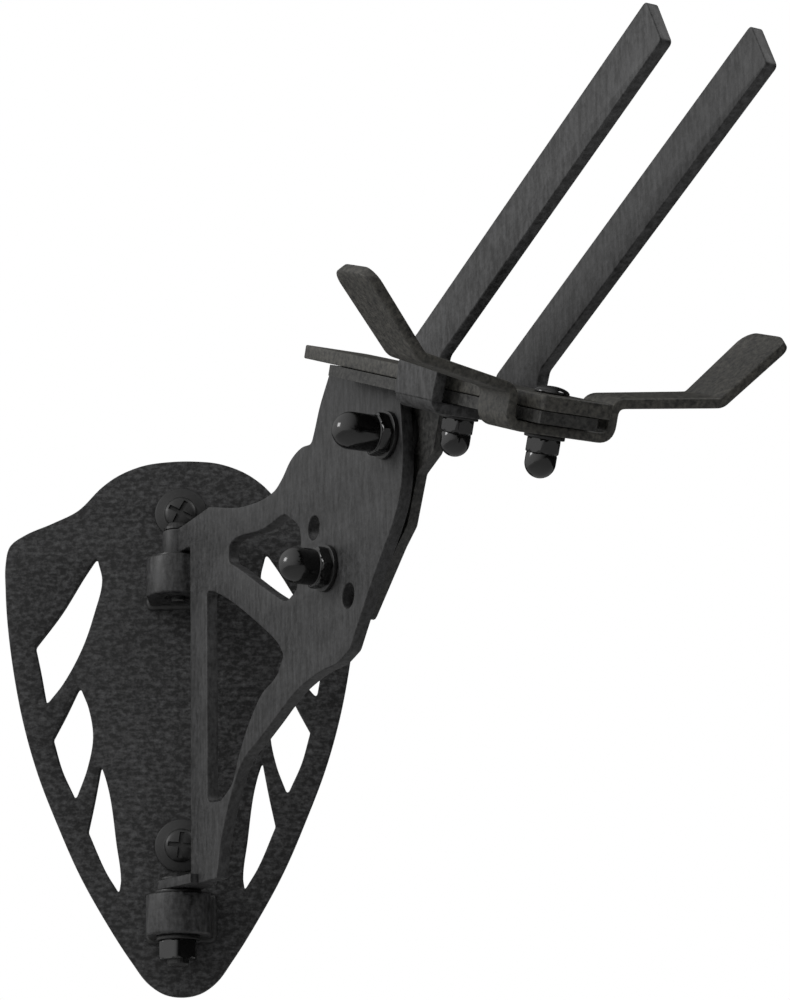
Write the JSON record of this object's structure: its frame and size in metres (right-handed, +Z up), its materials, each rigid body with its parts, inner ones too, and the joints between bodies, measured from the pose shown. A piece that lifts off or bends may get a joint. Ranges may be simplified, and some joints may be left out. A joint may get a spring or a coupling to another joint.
{
  "type": "bicycle wall rack",
  "caption": "Wall rack for a bicycle: a shield plate with a swinging arm and a tilting head whose prongs and ears hold the frame.",
  "frame": {"origin": "on the wall plate's back face, midway between its two screws", "axes": "+Z up, +Y into the wall, +X to the right as seen from the room; the arm stands out towards -Y, swung 31 degrees to +X at rest"},
  "size_m": [0.2764, 0.3306, 0.2417],
  "materials": {
    "wall_plate": "matte textured black powder coat",
    "wall_screw": "black oxide",
    "knuckle": "satin black coat",
    "pin_steel": "dark turned steel",
    "arm_plate": "satin charcoal coat over brushed steel",
    "washer": "black oxide",
    "cap_nut": "glossy black",
    "head_bracket": "satin charcoal coat",
    "skull_plate": "satin warm grey-black coat",
    "antler_fork": "satin charcoal coat over brushed steel",
    "ear_bar": "satin warm grey-black coat"
  },
  "bodies": {
    "root": {"wall_plate": "wall_plate", "wall_screw_upper": "wall_screw", "wall_screw_lower": "wall_screw", "hinge_knuckle_upper": "knuckle", "hinge_knuckle_lower": "knuckle", "hinge_bush_upper": "pin_steel", "hinge_bush_lower": "pin_steel"},
    "arm": {"arm_plate": "arm_plate", "hinge_pin_upper": "pin_steel", "hinge_stud_lower": "pin_steel", "thrust_washer_upper": "washer", "thrust_washer_lower": "washer", "hinge_washer": "washer", "hinge_nut": "cap_nut", "pivot_bolt": "cap_nut", "pivot_washer_near": "washer", "pivot_washer_far": "washer", "pivot_friction_washer": "washer", "pivot_cap_nut": "cap_nut", "index_bolt": "cap_nut", "index_washer_near": "washer", "index_washer_far": "washer", "index_cap_nut": "cap_nut"},
    "head": {"head_bracket": "head_bracket", "skull_plate": "skull_plate", "antler_fork": "antler_fork", "ear_bar": "ear_bar", "top_bolt_rear": "cap_nut", "top_bolt_front": "cap_nut", "top_washer_rear": "washer", "top_washer_front": "washer", "cap_nut_rear": "cap_nut", "cap_nut_front": "cap_nut"}
  },
  "joints": [
    {"name": "arm_swing", "type": "hinge", "parent": "root", "child": "arm", "pos_m": [0, -0.017, 0], "axis": [0, 0, 1], "range_deg": [-91, 29]},
    {"name": "head_tilt", "type": "hinge", "parent": "arm", "child": "head", "pos_m": [0.08539, -0.15912, 0.0471], "axis": [0.8572, 0.515, 0], "range_deg": [0, 15]}
  ]
}
